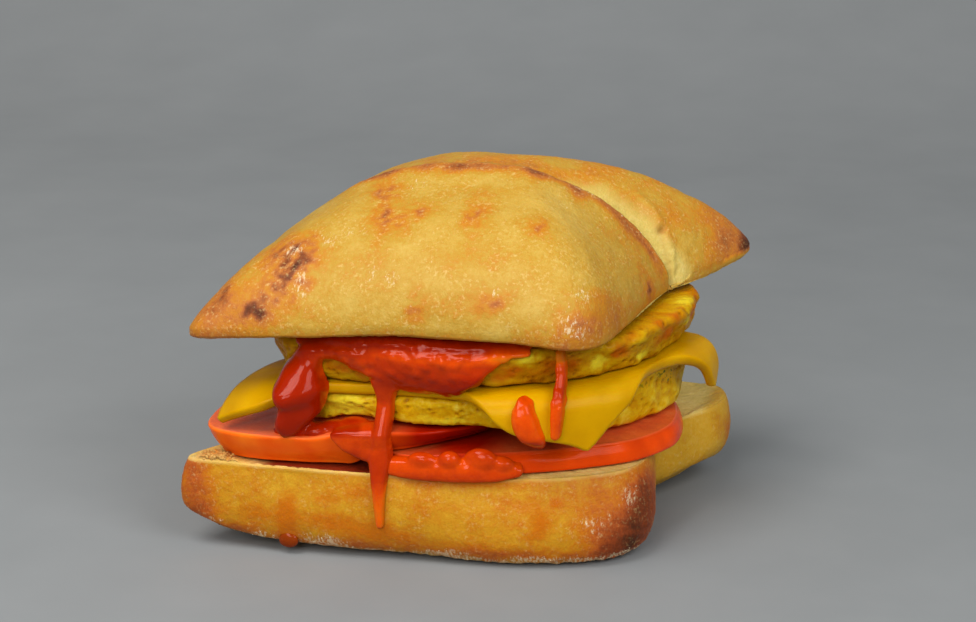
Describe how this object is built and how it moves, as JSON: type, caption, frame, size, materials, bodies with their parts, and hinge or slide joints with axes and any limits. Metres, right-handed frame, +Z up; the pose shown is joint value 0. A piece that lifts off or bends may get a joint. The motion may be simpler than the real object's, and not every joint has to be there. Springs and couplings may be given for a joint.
{
  "type": "breakfast sandwich",
  "caption": "Split oblong bread roll filled with sliced tomato, egg patties, a draped slice of cheese and ketchup that runs down the front.",
  "frame": {"origin": "middle of the sandwich's footprint at the table, under the heel", "axes": "+X to the right along the roll as seen from its front, +Y to the back, +Z up"},
  "size_m": [0.1196, 0.082, 0.0835],
  "materials": {
    "crust": "floury golden bread crust with toasted spots, matt",
    "tomato": "wet tomato flesh and skin",
    "egg": "fried egg patty, soft sheen, browned on top",
    "cheese": "soft processed cheese, satin",
    "ketchup": "wet glossy ketchup"
  },
  "bodies": {
    "root": {"heel": "crust", "crown": "crust", "tomato_right": "tomato", "tomato_left": "tomato", "egg_lower": "egg", "egg_upper": "egg", "cheese": "cheese", "ketchup": "ketchup", "ketchup_drop": "ketchup", "ketchup_thread": "ketchup", "ketchup_bubbles": "ketchup"}
  },
  "joints": []
}
